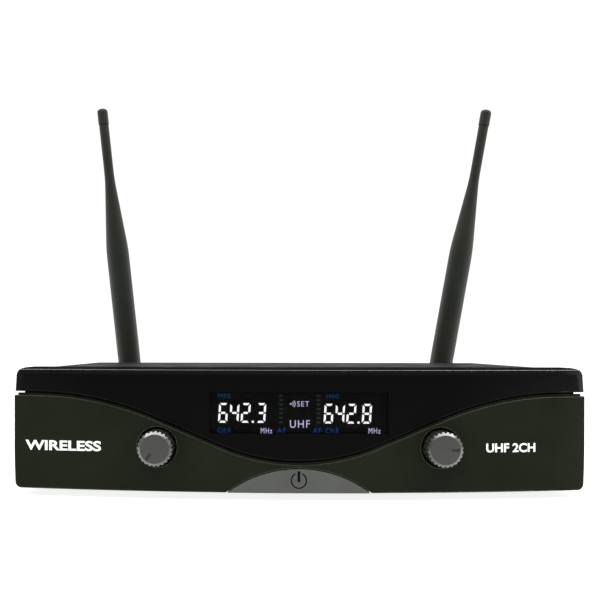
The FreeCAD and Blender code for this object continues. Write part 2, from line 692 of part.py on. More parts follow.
def bottom_chassis():
    """A tray: floor, front wall, low side flanges and a rear lip."""
    half = TRAY_HALF
    front, back = FRONT_BACK_Y, CASE_BACK_Y - SHEET
    floor_top = CASE_BOTTOM + SHEET
    tray = box((-half, half), (front, back), (CASE_BOTTOM, floor_top))
    tray = tray.fuse(box((-half, half), (front, front + SHEET), (CASE_BOTTOM, TRAY_WALL_TOP)))
    tray = tray.fuse(box((-half, half), (back - SHEET, back), (CASE_BOTTOM, REAR_LIP_TOP)))
    for side in (-1, 1):
        x = sorted((side * half, side * (half - SHEET)))
        tray = tray.fuse(box(x, (front, back), (CASE_BOTTOM, TRAY_FLANGE_TOP)))
    through = (front, front + SHEET)
    holes = case_screw_holes(SCREW_RADIUS + FIT)
    holes.append(box((-CABLE_SLOT_HALF, CABLE_SLOT_HALF), through, CABLE_SLOT_Z))
    holes += [rod_y(x, REAR_SCREW_Z, SCREW_RADIUS + FIT, 0, CASE_BACK_Y) for x in REAR_SCREW_X]
    holes += [rod_y(x, z, SCREW_RADIUS + GAP, *through) for x, z in front_screw_places()]
    holes += [rod_z(x, y, SCREW_RADIUS + FIT, 0, floor_top) for x, y in foot_places()]
    holes += [rod_z(x, y, SCREW_RADIUS + FIT, 0, floor_top) for x, y in STANDOFFS]
    for hole in holes:
        tray = tray.cut(hole)
    return tray


def rear_panel():
    half = TRAY_HALF
    back = CASE_BACK_Y
    panel = box((-half, half), (back - SHEET, back), (CASE_BOTTOM, REAR_PANEL_TOP))
    holes = [rod_y(s * ANTENNA_X, ANTENNA_Z, SOCKET_RADIUS + FIT, 0, FAR) for s in (-1, 1)]
    holes += [rod_y(x, OUTPUT_Z, OUTPUT_BODY_RADIUS + GAP, 0, FAR) for x in OUTPUT_X]
    holes += [rod_y(x, z, OUTPUT_SCREW_RADIUS + FIT, 0, FAR) for x, z in output_screw_places()]
    holes += [rod_y(x, REAR_SCREW_Z, SCREW_RADIUS + GAP, 0, FAR) for x in REAR_SCREW_X]
    holes.append(rod_y(JACK_X, JACK_Z, JACK_THREAD + FIT, 0, FAR))
    holes.append(rod_y(POWER_X, POWER_Z, POWER_BODY + FIT, 0, FAR))
    for hole in holes:
        panel = panel.cut(hole)
    return panel


def foot_places():
    return [(s * FOOT_X, y) for s in (-1, 1) for y in FOOT_Y]


def rubber_feet():
    feet = []
    for x, y in foot_places():
        pad = Part.makeCone(FOOT_RADIUS - FOOT_TAPER, FOOT_RADIUS, CASE_BOTTOM, V(x, y, 0), Z_AXIS)
        pad = pad.cut(rod_z(x, y, FOOT_RECESS_RADIUS, 0, FOOT_RECESS))
        feet.append(pad.cut(rod_z(x, y, SCREW_RADIUS + FIT, 0, FAR)))
    return feet


def foot_screws():
    length = CASE_BOTTOM + SHEET + SCREW_PAST - FOOT_RECESS
    return [pan_screw(V(x, y, FOOT_RECESS), Z_AXIS, length) for x, y in foot_places()]


def case_screws():
    """Two screws in each side of the cover and two in the rear panel."""
    screws = [
        pan_screw(V(s * COVER_HALF, y, CASE_SCREW_Z), X_AXIS * -s, SCREW_LENGTH / 2)
        for s in (-1, 1) for y in CASE_SCREW_Y
    ]
    screws += [pan_screw(V(x, CASE_BACK_Y, REAR_SCREW_Z), -Y_AXIS, SCREW_LENGTH) for x in REAR_SCREW_X]
    return screws


def front_screw_places():
    return [(s * FRONT_SCREW_X, z) for s in (-1, 1) for z in FRONT_SCREW_Z]


def front_screws():
    y = FRONT_BACK_Y + SHEET
    return [pan_screw(V(x, y, z), -Y_AXIS, FRONT_SCREW_LENGTH) for x, z in front_screw_places()]


def main_board():
    half = MAIN_BOARD_HALF
    board = box((-half, half), MAIN_BOARD_Y, (MAIN_BOARD_Z, MAIN_BOARD_Z + BOARD))
    for x, y in STANDOFFS:
        board = board.cut(rod_z(x, y, SCREW_RADIUS + GAP, 0, FAR))
    return board


def board_standoffs():
    posts = []
    for x, y in STANDOFFS:
        post = rod_z(x, y, STANDOFF_RADIUS, CASE_BOTTOM + SHEET, MAIN_BOARD_Z)
        posts.append(post.cut(rod_z(x, y, SCREW_RADIUS + FIT, 0, FAR)))
    return posts


def board_screws():
    top = MAIN_BOARD_Z + BOARD
    return [pan_screw(V(x, y, top), -Z_AXIS, top - CASE_BOTTOM) for x, y in STANDOFFS]


def radio_module(side):
    """A closed sheet metal can on the main board that takes the socket's centre pin."""
    x = sorted((side * RADIO_X[0], side * RADIO_X[1]))
    wall = RADIO_WALL
    z = (MAIN_BOARD_Z + BOARD, RADIO_TOP)
    inside = [(low + wall, high - wall) for low, high in (x, RADIO_Y, z)]
    hole = rod_y(side * ANTENNA_X, ANTENNA_Z, RADIO_PIN_HOLE, RADIO_Y[1] - wall, FAR)
    return box(x, RADIO_Y, z).cut(box(*inside)).cut(hole)


def antenna_socket(side):
    x, z = side * ANTENNA_X, ANTENNA_Z
    back = CASE_BACK_Y
    body = hex_y(x, z, SOCKET_FLATS, back, back + SOCKET_FLANGE)
    body = body.fuse(rod_y(x, z, SOCKET_RADIUS, SOCKET_END_Y, back))
    body = body.fuse(rod_y(x, z, SPIGOT_RADIUS, back, SPIGOT_END_Y))
    return body.fuse(rod_y(x, z, SOCKET_PIN, SOCKET_PIN_END_Y, SOCKET_END_Y))


def socket_nuts():
    front = CASE_BACK_Y - SHEET
    return [
        hex_y(s * ANTENNA_X, ANTENNA_Z, SOCKET_FLATS, front - SOCKET_NUT, front)
        .cut(rod_y(s * ANTENNA_X, ANTENNA_Z, SOCKET_RADIUS + FIT, 0, FAR))
        for s in (-1, 1)
    ]


def posed(shape, side, tilt):
    """Move a piece drawn about the hinge at the origin, whip upwards, to its antenna's place."""
    shape.rotate(V(0, 0, 0), Y_AXIS, math.degrees(tilt))
    shape.translate(V(side * ANTENNA_X, HINGE_Y, ANTENNA_Z))
    return shape


def antenna_swivel(side, tilt):
    near, far = [y - HINGE_Y for y in COLLAR_Y]
    collar = rod_y(0, 0, COLLAR_RADIUS, near, far)
    for i in range(KNURLS):
        turn = math.tau * i / KNURLS
        at = (COLLAR_RADIUS * math.sin(turn), COLLAR_RADIUS * math.cos(turn))
        collar = collar.cut(rod_y(*at, KNURL_RADIUS, near + KNURL_MARGIN[0], far - KNURL_MARGIN[1]))
    tongue = box((-TONGUE_HALF, TONGUE_HALF), (far - MERGE, 0), (-TONGUE_RADIUS, TONGUE_RADIUS))
    body = collar.fuse(tongue).fuse(rod_x(TONGUE_RADIUS, -TONGUE_HALF, TONGUE_HALF))
    body = body.cut(rod_x(HINGE_PIN + FIT, -FAR, FAR))
    bore = rod_y(0, 0, SPIGOT_RADIUS + FIT, near, COLLAR_BORE_END_Y - HINGE_Y)
    return posed(body.cut(bore), side, tilt)


def hinge_pin(side, tilt):
    return posed(rod_x(HINGE_PIN, -EAR_HALF[1], EAR_HALF[1]), side, tilt)


def soft_bend(before, at, after):
    """Three points of the arc that eases the bend at a corner of an outline."""
    back = (before - at).normalize()
    on = (after - at).normalize()
    turn = math.pi - back.getAngle(on)
    ease = FLARE_BLEND / 2
    rise = ease / math.tan(turn / 2) * (1 / math.cos(turn / 2) - 1)
    middle = (back + on).normalize() * rise
    return [at + back * ease, at + middle, at + on * ease]


def antenna_sleeve(side, tilt):
    """Thick lower length, long taper and slim upper length, with two hinge ears below."""
    foot, low = V(0, 0, WHIP_START), V(WHIP_RADIUS, 0, WHIP_START)
    knee, neck = V(WHIP_RADIUS, 0, FLARE_START), V(SLIM_RADIUS, 0, FLARE_END)
    high, tip = V(SLIM_RADIUS, 0, WHIP_END), V(0, 0, WHIP_END)
    first, second = soft_bend(low, knee, neck), soft_bend(knee, neck, high)
    outline = [line(foot, low), line(low, first[0]), arc(*first), line(first[2], second[0]), arc(*second)]
    outline += [line(second[2], high), line(high, tip), line(tip, foot)]
    sleeve = Part.Face(Part.Wire(outline)).revolve(V(0, 0, 0), Z_AXIS, 360)
    for s in (-1, 1):
        x = sorted((s * EAR_HALF[0], s * EAR_HALF[1]))
        ear = box(x, (-EAR_RADIUS, EAR_RADIUS), (0, WHIP_START + MERGE))
        sleeve = sleeve.fuse(ear.fuse(rod_x(EAR_RADIUS, *x)))
    sleeve = sleeve.cut(rod_x(HINGE_PIN + TIGHT, -FAR, FAR))
    bore = rod_z(0, 0, WIRE_BORE, WIRE_SPAN[0] - GAP, WHIP_END)
    return posed(sleeve.cut(bore), side, tilt)


def antenna_wire(side, tilt):
    return posed(rod_z(0, 0, WIRE_RADIUS, *WIRE_SPAN), side, tilt)


def antenna_cap(side, tilt):
    cap = rod_z(0, 0, CAP_RADIUS, CAP_START, CAP_END)
    cap = cap.makeFillet(CAP_ROUND, [e for e in cap.Edges if e.BoundBox.ZMin > CAP_END - NEAR])
    return posed(cap.fuse(rod_z(0, 0, WIRE_BORE - FIT, CAP_STEM_START, CAP_START)), side, tilt)


def output_screw_places():
    dx, dz = OUTPUT_SCREW_OFFSET
    return [(x + s * dx, OUTPUT_Z - s * dz) for x in OUTPUT_X for s in (-1, 1)]


def output_shell(x):
    """A flanged barrel in the panel, open to the rear."""
    half, tall, thick = OUTPUT_FLANGE
    back = CASE_BACK_Y
    flange = box((x - half, x + half), (back, back + thick), (OUTPUT_Z - tall, OUTPUT_Z + tall))
    corners = [e for e in flange.Edges if e.BoundBox.YLength > thick / 2]
    flange = flange.makeFillet(OUTPUT_FLANGE_CORNER, corners)
    body = flange.fuse(rod_y(x, OUTPUT_Z, OUTPUT_BODY_RADIUS, OUTPUT_BODY_END_Y, back))
    body = body.cut(rod_y(x, OUTPUT_Z, OUTPUT_CUP_RADIUS, OUTPUT_BODY_END_Y, FAR))
    for sx, sz in output_screw_places():
        body = body.cut(rod_y(sx, sz, OUTPUT_SCREW_RADIUS + FIT, back, FAR))
    return body


def pin_places(x):
    """Where the three pins of one output stand, as seen from the rear."""
    turns = [math.radians(a) for a in OUTPUT_PIN_ANGLES]
    reach = OUTPUT_PIN_CIRCLE
    return [(x + reach * math.cos(t), OUTPUT_Z + reach * math.sin(t)) for t in turns]


def output_insert(x):
    disc = rod_y(x, OUTPUT_Z, OUTPUT_CUP_RADIUS - FIT, *OUTPUT_INSERT_Y)
    for px, pz in pin_places(x):
        disc = disc.cut(rod_y(px, pz, OUTPUT_PIN_RADIUS + TIGHT, 0, FAR))
    return disc


def output_pins():
    pins = []
    for x in OUTPUT_X:
        for px, pz in pin_places(x):
            tip_y = OUTPUT_PIN_Y[1] - OUTPUT_PIN_RADIUS
            pin = rod_y(px, pz, OUTPUT_PIN_RADIUS, OUTPUT_PIN_Y[0], tip_y)
            tip = Part.makeSphere(OUTPUT_PIN_RADIUS, V(px, tip_y, pz), Y_AXIS, 0, 90, 360)
            pins.append(pin.fuse(tip))
    return pins


def output_screws():
    back = CASE_BACK_Y + OUTPUT_FLANGE[2]
    size = (SCREW_LENGTH, OUTPUT_SCREW_RADIUS, OUTPUT_SCREW_HEAD)
    return [pan_screw(V(x, back, z), -Y_AXIS, *size) for x, z in output_screw_places()]


def jack_socket():
    half = JACK_HALF
    inner = CASE_BACK_Y - SHEET
    y = (JACK_BODY_START_Y, inner)
    body = box((JACK_X - half, JACK_X + half), y, (JACK_Z - half, JACK_Z + half))
    body = body.fuse(rod_y(JACK_X, JACK_Z, JACK_THREAD, inner, JACK_TIP_Y))
    return body.cut(rod_y(JACK_X, JACK_Z, JACK_BORE, JACK_BORE_START_Y, JACK_TIP_Y))


def jack_nut():
    back = CASE_BACK_Y
    nut = hex_y(JACK_X, JACK_Z, JACK_NUT_FLATS, back, back + JACK_NUT)
    return nut.cut(rod_y(JACK_X, JACK_Z, JACK_THREAD + FIT, 0, FAR))


def power_inlet():
    half, thick = POWER_FLANGE
    back = CASE_BACK_Y
    height = (POWER_Z - half, POWER_Z + half)
    flange = box((POWER_X - half, POWER_X + half), (back, back + thick), height)
    body = flange.fuse(rod_y(POWER_X, POWER_Z, POWER_BODY, POWER_BODY_END_Y, back))
    return body.cut(rod_y(POWER_X, POWER_Z, POWER_CUP, POWER_CUP_FLOOR_Y, FAR))


def power_inlet_pin():
    return rod_y(POWER_X, POWER_Z, POWER_PIN, POWER_CUP_FLOOR_Y, POWER_PIN_TIP_Y)


def nodes():
    """Every node by name. A list is one node made of several separate solids."""
    made = {
        "fascia_bezel": fascia_bezel(),
        "display_lens": display_lens(),
        "lower_panel": lower_panel(),
        "inner_frame": inner_frame(),
        "display_module": display_module(),
        "front_board": front_board(),
        "front_board_screws": front_board_screws(),
        "ribbon_cable": ribbon_cable(),
        "power_button": power_button(),
        "switch_plunger": switch_plunger(),
        "power_switch": power_switch(),
        "pot_washers": pot_washers(),
        "pot_nuts": pot_nuts(),
        "top_cover": top_cover(),
        "bottom_chassis": bottom_chassis(),
        "rear_panel": rear_panel(),
        "rubber_feet": rubber_feet(),
        "foot_screws": foot_screws(),
        "case_screws": case_screws(),
        "front_screws": front_screws(),
        "main_board": main_board(),
        "board_standoffs": board_standoffs(),
        "board_screws": board_screws(),
        "socket_nuts": socket_nuts(),
        "output_pins": output_pins(),
        "output_screws": output_screws(),
        "jack_socket": jack_socket(),
        "jack_nut": jack_nut(),
        "power_inlet": power_inlet(),
        "power_inlet_pin": power_inlet_pin(),
    }
    for name, side, angle, tilt, x in (
        ("a", -1, KNOB_ANGLE_A, TILT_A, OUTPUT_X[0]),
        ("b", 1, KNOB_ANGLE_B, TILT_B, OUTPUT_X[1]),
    ):
        made[f"knob_{name}"] = knob(side, angle)
        made[f"pot_shaft_{name}"] = pot_shaft(side, angle)
        made[f"pot_body_{name}"] = pot_body(side)
        made[f"radio_module_{name}"] = radio_module(side)
        made[f"antenna_socket_{name}"] = antenna_socket(side)
        made[f"antenna_swivel_{name}"] = antenna_swivel(side, tilt)
        made[f"hinge_pin_{name}"] = hinge_pin(side, tilt)
        made[f"antenna_sleeve_{name}"] = antenna_sleeve(side, tilt)
        made[f"antenna_wire_{name}"] = antenna_wire(side, tilt)
        made[f"antenna_cap_{name}"] = antenna_cap(side, tilt)
        made[f"output_shell_{name}"] = output_shell(x)
        made[f"output_insert_{name}"] = output_insert(x)
    return made


os.makedirs("parts", exist_ok=True)
for name, shape in nodes().items():
    solids = shape if isinstance(shape, list) else shape.Solids
    Part.makeCompound([s for piece in solids for s in piece.Solids]).exportStep(f"parts/{name}.step")
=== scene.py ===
import json
import math

import bmesh
import bpy
from mathutils import Matrix, Vector


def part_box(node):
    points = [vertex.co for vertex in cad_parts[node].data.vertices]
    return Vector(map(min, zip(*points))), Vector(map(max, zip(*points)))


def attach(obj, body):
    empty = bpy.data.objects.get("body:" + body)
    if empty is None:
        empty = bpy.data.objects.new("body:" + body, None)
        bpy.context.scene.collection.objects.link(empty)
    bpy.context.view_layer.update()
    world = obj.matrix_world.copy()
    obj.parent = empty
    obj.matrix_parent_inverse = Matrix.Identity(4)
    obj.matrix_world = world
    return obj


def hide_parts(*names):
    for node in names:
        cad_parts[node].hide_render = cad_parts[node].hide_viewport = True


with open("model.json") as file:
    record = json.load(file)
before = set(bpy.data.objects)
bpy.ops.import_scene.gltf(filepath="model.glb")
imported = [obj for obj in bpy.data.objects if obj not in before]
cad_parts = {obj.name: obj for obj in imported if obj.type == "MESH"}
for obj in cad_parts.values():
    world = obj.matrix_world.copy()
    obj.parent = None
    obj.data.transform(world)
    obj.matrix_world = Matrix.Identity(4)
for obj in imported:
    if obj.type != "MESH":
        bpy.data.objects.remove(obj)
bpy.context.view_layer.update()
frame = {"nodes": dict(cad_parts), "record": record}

# Shapes are worked out in millimetres and scaled to metres when a mesh is made.
# X runs to the right as seen from the front, Y to the rear and Z up.
MM = 0.001
nodes = frame["nodes"]


def box_mm(node):
    """The lowest and highest corner of a CAD node, in millimetres."""
    low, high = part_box(node)
    return Vector(low) / MM, Vector(high) / MM


PANEL_LOW, PANEL_HIGH = box_mm("lower_panel")
DISPLAY_LOW, DISPLAY_HIGH = box_mm("display_module")

# The bowed front: a cylinder about Z through the panel's middle and its ends
BOW = 12.0
BOW_RADIUS = (PANEL_HIGH.x**2 + BOW**2) / (2 * BOW)
BOW_CENTRE_Y = PANEL_LOW.y + BOW_RADIUS

# Power symbol, engraved in the button and filled with black paint
SYMBOL_Z = 7.95
SYMBOL_RADIUS = 2.95
SYMBOL_LINE = 0.55
SYMBOL_OPENING = 1.3  # half the width of the gap in the ring
SYMBOL_BAR_TOP = 11.7
SYMBOL_MARGIN = 0.02  # bare strip between the paint and the engraving's walls
SYMBOL_STEPS = 72
PAINT = 0.12

# Painted shade: a darker grey plate that nearly fills each knob's pointer slot, standing for the shade in
# the recess
POINTER_REACH = (2.25, 5.25)  # from the knob's axis
POINTER_HALF = 0.5
POINTER_FLOOR = 0.5  # the slot's depth
POINTER_DEPTH = 0.12  # how far the painted shade's face lies below the knob's
POINTER_GAP = 0.01
KNOB_TURNS = (("a", -140), ("b", 90))  # degrees clockwise from the top

# Printed and lit marks
PRINT_LAP = 0.5  # how far the lens's black border laps over the display
PRINT = 0.03
DIGIT_WIDTH = 3.6
DIGIT_HEIGHT = 7.75
DIGIT_STROKE = 0.80
DIGIT_GAP = 0.23
DIGIT_PITCH = 4.45
DIGIT_POINT_PITCH = 6.1  # from the digit before the decimal point to the one after it
DIGIT_SLANT = 0.06
POINT_SIZE = 0.8
READING_A = (-31.8, 30.35)  # lower left corner of each reading
READING_B = (9.8, 30.15)
MARK_SPACING = 1.2
WAVES_AT = (-3.1, 37.85)
WAVE_RADII = (1.0, 1.75)
WAVE_LINE = 0.28
WAVE_TURN = 48  # degrees up and down from +X
WAVE_DOT = (0.18, 0.34, 0, 359)  # a ring so thick and long that it closes into a dot
LEVEL_STEPS = 7
LEVEL_BOTTOM = 30.2
LEVEL_PITCH = 1.75
LEVEL_HEIGHT = 0.75
LEGEND_WEIGHT = 0.03
LETTER_DEPTH = 0.5
LETTER_STEPS = 6
RING_STEPS = 24


def bow_y(x, raised=0.0):
    """Y of the bowed front surface at x, or of one raised above it."""
    return BOW_CENTRE_Y - math.sqrt((BOW_RADIUS + raised) ** 2 - x * x)


# ---------------------------------------------------------------- materials

NOISE_SPAN = (0.3, 0.7)  # the noise's usual lowest and highest value
EDGE_TURN = (0.99, 0.80)  # cosine between the true and the softened normal, off and on an edge
BLOTCH = 60  # patches of tone per metre
METAL_GRAIN = 900
METAL_DEPTH = 3e-6


def new_material(name, colour, rough, metallic=0.0, specular=0.5):
    """A material with plain values, and its shader for the patterns to be linked to."""
    material = bpy.data.materials.new(name)
    material.use_nodes = True
    shader = material.node_tree.nodes["Principled BSDF"]
    shader.inputs["Base Color"].default_value = (*colour, 1)
    shader.inputs["Roughness"].default_value = rough
    shader.inputs["Metallic"].default_value = metallic
    shader.inputs["Specular IOR Level"].default_value = specular
    return material, shader


def noise(material, scale, detail=4, stretch=(1, 1, 1)):
    """A noise pattern fixed to the piece; scale is in features per metre."""
    tree = material.node_tree
    place = tree.nodes.new("ShaderNodeTexCoord")
    mapping = tree.nodes.new("ShaderNodeMapping")
    mapping.inputs["Scale"].default_value = stretch
    texture = tree.nodes.new("ShaderNodeTexNoise")
    texture.inputs["Scale"].default_value = scale
    texture.inputs["Detail"].default_value = detail
    tree.links.new(place.outputs["Object"], mapping.inputs["Vector"])
    tree.links.new(mapping.outputs["Vector"], texture.inputs["Vector"])
    return texture


def map_range(tree, value, given, wanted, socket, kind="LINEAR"):
    """Turn a value within the given range into a number within the wanted one."""
    ramp = tree.nodes.new("ShaderNodeMapRange")
    ramp.interpolation_type = kind
    ramp.inputs["From Min"].default_value, ramp.inputs["From Max"].default_value = given
    ramp.inputs["To Min"].default_value, ramp.inputs["To Max"].default_value = wanted
    tree.links.new(value, ramp.inputs["Value"])
    tree.links.new(ramp.outputs["Result"], socket)


def spread(material, texture, low, high, socket):
    """The pattern sets a number between low and high."""
    map_range(material.node_tree, texture.outputs["Fac"], NOISE_SPAN, (low, high), socket)


def tint(material, texture, dark, light, socket):
    """The pattern mixes two colours."""
    tree = material.node_tree
    ramp = tree.nodes.new("ShaderNodeValToRGB")
    ends = zip(ramp.color_ramp.elements, NOISE_SPAN, (dark, light))
    for element, position, colour in ends:
        element.position = position
        element.color = (*colour, 1)
    tree.links.new(texture.outputs["Fac"], ramp.inputs["Fac"])
    tree.links.new(ramp.outputs["Color"], socket)


def bump(material, shader, texture, height):
    """The pattern raises the surface by up to height, in metres."""
    tree = material.node_tree
    node = tree.nodes.new("ShaderNodeBump")
    node.inputs["Distance"].default_value = height
    tree.links.new(texture.outputs["Fac"], node.inputs["Height"])
    tree.links.new(node.outputs["Normal"], shader.inputs["Normal"])


def shade(colour, factor):
    """A darker or lighter colour."""
    return tuple(c * factor for c in colour)


def gloss_by_angle(material, shader, facing, oblique, start=0.05, full=0.5):
    """Weak reflections where the surface faces the viewer, strong ones where it turns away."""
    level = shader.inputs["Specular IOR Level"]
    level.default_value = facing
    if oblique != facing:
        tree = material.node_tree
        weight = tree.nodes.new("ShaderNodeLayerWeight")
        map_range(tree, weight.outputs["Facing"], (start, full), (facing, oblique), level)


def edge_wear_and_highlight(material, shader, lighter, width):
    """Mix a lighter colour in along edges: wear where handling has polished the surface, and a painted
    highlight where the colour is made many times lighter, as on the lower panel.
    """
    tree = material.node_tree
    soft = tree.nodes.new("ShaderNodeBevel")
    soft.inputs["Radius"].default_value = width
    sharp = tree.nodes.new("ShaderNodeNewGeometry")
    turn = tree.nodes.new("ShaderNodeVectorMath")
    turn.operation = "DOT_PRODUCT"
    tree.links.new(soft.outputs["Normal"], turn.inputs[0])
    tree.links.new(sharp.outputs["Normal"], turn.inputs[1])
    mix = tree.nodes.new("ShaderNodeMix")
    mix.data_type = "RGBA"
    map_range(tree, turn.outputs["Value"], EDGE_TURN, (0, 1), mix.inputs["Factor"])
    base = shader.inputs["Base Color"].links[0].from_socket
    tree.links.new(base, mix.inputs["A"])
    mix.inputs["B"].default_value = (*lighter, 1)
    tree.links.new(mix.outputs["Result"], shader.inputs["Base Color"])


def plastic(name, colour, rough, grain, depth, gloss=(0.5, 0.5), vary=0.12, wear_and_highlight=2.2, wear_and_highlight_band=0.0002):
    """Moulded plastic, rubber or paint: surface grain, uneven tone and gloss, paler edges from wear, and a
    painted highlight where the edges are made many times lighter.
    """
    material, shader = new_material(name, colour, rough)
    cloud = noise(material, BLOTCH)
    tint(material, cloud, shade(colour, 1 - vary), shade(colour, 1 + vary), shader.inputs["Base Color"])
    spread(material, cloud, rough * (1 - vary), rough * (1 + vary), shader.inputs["Roughness"])
    bump(material, shader, noise(material, grain, 2), depth)
    gloss_by_angle(material, shader, *gloss)
    edge_wear_and_highlight(material, shader, shade(colour, wear_and_highlight), wear_and_highlight_band)
    return material


def metal(name, colour, rough, stretch=(1, 1, 1)):
    """Plated or brushed metal with fine lines along the axis that stretch leaves long."""
    material, shader = new_material(name, colour, rough, metallic=1.0)
    lines = noise(material, METAL_GRAIN, 3, stretch)
    tone = noise(material, 2 * BLOTCH)
    spread(material, lines, rough * 0.75, rough * 1.35, shader.inputs["Roughness"])
    tint(material, tone, shade(colour, 0.86), shade(colour, 1.06), shader.inputs["Base Color"])
    bump(material, shader, lines, METAL_DEPTH)
    return material


def glow(name, colour, strength):
    """A lit display segment, a little uneven like a real light pipe."""
    material, shader = new_material(name, shade(colour, 0.02), 0.5, specular=0.1)
    shader.inputs["Emission Strength"].default_value = strength
    tint(material, noise(material, 700, 1), shade(colour, 0.9), colour, shader.inputs["Emission Color"])
    return material


# Gloss facing the viewer, gloss at a slant, and the slants between which it grows
FASCIA_GLOSS = (0.07, 1.6, 0.12, 0.22)
PANEL_GLOSS = (0.03, 1.0, 0.12, 0.5)
MATT = (0.05, 0.1)
HARDLY_ANY = (0.0006, 0.0006)

gloss_black = plastic("gloss_black", (0.0022, 0.0021, 0.0020), 0.1, 700, 4e-7, FASCIA_GLOSS, wear_and_highlight=1.5)
frame_black = plastic("frame_black", (0.003, 0.003, 0.003), 0.5, 3000, 8e-6, MATT)
# Painted highlight: the lower panel's edges are made eleven times lighter, standing for the lit lines
# along its top edge.
panel_matt = plastic(
    "panel_matt", (0.0100, 0.0121, 0.0070), 0.40, 5200, 1.1e-5, PANEL_GLOSS, wear_and_highlight=11.0, wear_and_highlight_band=0.0004
)
button_grey = plastic("button_grey", (0.060, 0.063, 0.059), 0.40, 5200, 5e-6, (0.3, 1.0), wear_and_highlight=1.3)
knob_grey = plastic("knob_grey", (0.034, 0.036, 0.033), 0.22, 4200, 4e-6, (0.3, 2.4), wear_and_highlight=1.6)
antenna_rubber = plastic("antenna_rubber", (0.0135, 0.0150, 0.0117), 0.5, 2600, 9e-6, (0.1, 0.5), wear_and_highlight=1.2)
case_paint = plastic("case_paint", (0.0165, 0.0150, 0.0180), 0.52, 1300, 3e-5, (0.015, 0.015), 0.25)
tray_paint = plastic("tray_paint", (0.015, 0.015, 0.0155), 0.5, 1300, 3e-5, (0.25, 0.25), 0.25)
foot_rubber = plastic("foot_rubber", (0.010, 0.010, 0.010), 0.8, 1500, 2e-5, (0.3, 0.3))
connector_black = plastic("connector_black", (0.010, 0.010, 0.010), 0.28, 2000, 4e-6)
board_green = plastic("board_green", (0.02, 0.12, 0.05), 0.3, 800, 5e-6, wear_and_highlight=1.1)
cable_grey = plastic("cable_grey", (0.35, 0.35, 0.36), 0.5, 800, 5e-6, wear_and_highlight=1.1)
display_black = plastic("display_black", (0.0030, 0.0032, 0.0028), 0.4, 800, 2e-6, MATT)
symbol_black = plastic("symbol_black", (0.002, 0.002, 0.002), 0.5, 2500, 4e-6, MATT)
# Painted shade: a grey a little darker than the knob, laid in the pointer slots for the shade inside them
pointer_painted_shade = plastic("pointer_painted_shade", (0.028, 0.030, 0.027), 0.5, 2500, 4e-6, (0.1, 0.3))
fascia_satin = plastic("fascia_satin", (0.003, 0.003, 0.003), 0.5, 3000, 2e-6, HARDLY_ANY, wear_and_highlight=1.0)
legend_white = plastic("legend_white", (0.86, 0.86, 0.84), 0.5, 5200, 5e-6, vary=0.04, wear_and_highlight=1.0)
screw_black = metal("screw_black", (0.045, 0.045, 0.045), 0.35)
nickel = metal("nickel", (0.62, 0.60, 0.57), 0.2, (1, 6, 1))
zinc = metal("zinc", (0.55, 0.55, 0.56), 0.32)
tin = metal("tin", (0.50, 0.50, 0.49), 0.35, (1, 8, 1))
gold = metal("gold", (0.83, 0.62, 0.28), 0.22)
digit_white = glow("digit_white", (0.96, 0.95, 1.0), 1.6)
unit_white = glow("unit_white", (0.72, 0.62, 1.0), 1.1)
legend_blue = glow("legend_blue", (0.05, 0.28, 1.0), 0.19)
level_blue = glow("level_blue", (0.03, 0.16, 1.0), 0.30)
level_dim = glow("level_dim", (0.5, 1.0, 0.72), 0.015)


def lens_material(name, alpha, facing):
    """Smoked acrylic, with a gloss that wiping has made a little uneven."""
    material, shader = new_material(name, (0.002, 0.002, 0.002), 0.07)
    shader.inputs["Alpha"].default_value = alpha
    spread(material, noise(material, 25), 0.05, 0.1, shader.inputs["Roughness"])
    gloss_by_angle(material, shader, facing, 0.3)
    return material


lens_smoke = lens_material("lens_smoke", 0.15, 0.0)
lens_black = lens_material("lens_black", 1.0, 0.02)

# material: (nodes, edge rounding in millimetres or None where the CAD mesh is shown as it is)
LOOKS = (
    (gloss_black, "fascia_bezel", None),
    (panel_matt, "lower_panel", None),
    (frame_black, "inner_frame", None),
    (display_black, "display_module", None),
    (button_grey, "power_button", None),
    (knob_grey, "knob_a knob_b", None),
    (antenna_rubber, "antenna_sleeve_a antenna_sleeve_b antenna_cap_a antenna_cap_b", 0.2),
    (case_paint, "top_cover output_shell_a output_shell_b", 0.15),
    (tray_paint, "bottom_chassis rear_panel", 0.12),
    (foot_rubber, "rubber_feet", 0.3),
    (connector_black, "antenna_swivel_a antenna_swivel_b output_insert_a output_insert_b", 0.15),
    (connector_black, "jack_socket power_inlet", 0.2),
    (screw_black, "foot_screws case_screws output_screws hinge_pin_a hinge_pin_b", 0.06),
    (nickel, "antenna_socket_a antenna_socket_b jack_nut", 0.15),
    (gold, "output_pins power_inlet_pin", None),
    (connector_black, "switch_plunger power_switch", None),
    (board_green, "front_board main_board", None),
    (cable_grey, "ribbon_cable", None),
    (nickel, "pot_washers pot_nuts pot_shaft_a pot_shaft_b socket_nuts board_standoffs", None),
    (zinc, "front_board_screws front_screws board_screws", None),
    (tin, "radio_module_a radio_module_b pot_body_a pot_body_b", None),
    (gold, "antenna_wire_a antenna_wire_b", None),
)
BODIES = frame["record"]["behaviour"]["bodies"]
BODY_OF = {node: body for body, members in BODIES.items() for node in members}
WELD = 1e-6
LETTER_WELD = 1e-7
FLAT = math.radians(0.2)
SHARP = math.radians(32)
SATIN_FROM = 0.98  # the upward share of the fascia's face normals
BARE_FROM = -0.15


def welded_copy(node):
    """A CAD node's mesh under a new name, and its faces joined up, ready to edit."""
    mesh = nodes[node].data.copy()
    mesh.name = node + "_fine"
    build = bmesh.new()
    build.from_mesh(mesh)
    bmesh.ops.remove_doubles(build, verts=build.verts, dist=WELD)
    return mesh, build


def stand_in(node, mesh, build, materials):
    """The edited mesh as a piece that stands for its CAD node."""
    mesh.materials.clear()
    for material in materials:
        mesh.materials.append(material)
    build.to_mesh(mesh)
    build.free()
    mesh.shade_smooth()
    mesh.set_sharp_from_angle(angle=SHARP)
    piece = bpy.data.objects.new(mesh.name, mesh)
    bpy.context.scene.collection.objects.link(piece)
    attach(piece, BODY_OF[node])
    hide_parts(node)
    return piece


